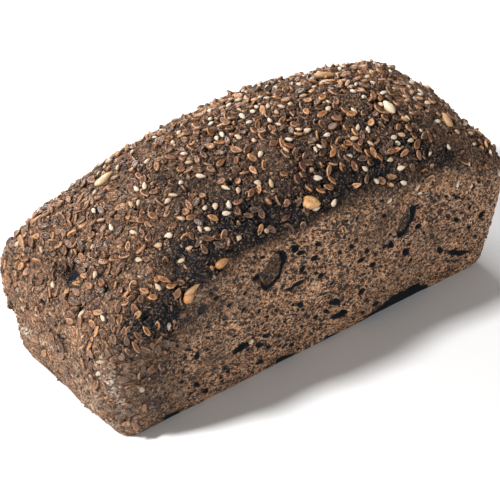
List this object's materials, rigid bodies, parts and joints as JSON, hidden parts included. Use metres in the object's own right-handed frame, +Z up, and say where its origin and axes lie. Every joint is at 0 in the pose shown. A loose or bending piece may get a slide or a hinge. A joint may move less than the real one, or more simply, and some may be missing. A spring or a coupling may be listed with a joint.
{
  "type": "multigrain sourdough loaf",
  "caption": "Whole loaf of dark multigrain sourdough baked in a tin: flat base, leaning pitted walls and a rounded dome crusted with flax, sesame and sunflower seeds.",
  "frame": {"origin": "middle of the flat base, on the surface that the loaf stands on", "axes": "+X along the loaf towards its far end, +Y across it towards the back wall, +Z up"},
  "size_m": [0.1874, 0.0804, 0.0853],
  "materials": {
    "crust": "matte dark brown crust, pitted, floury in places",
    "flax": "satin red-brown seed coat with a paler rim",
    "sesame": "satin cream seed coat",
    "sunflower": "satin toasted kernel"
  },
  "bodies": {
    "root": {"loaf": "crust"}
  },
  "joints": []
}
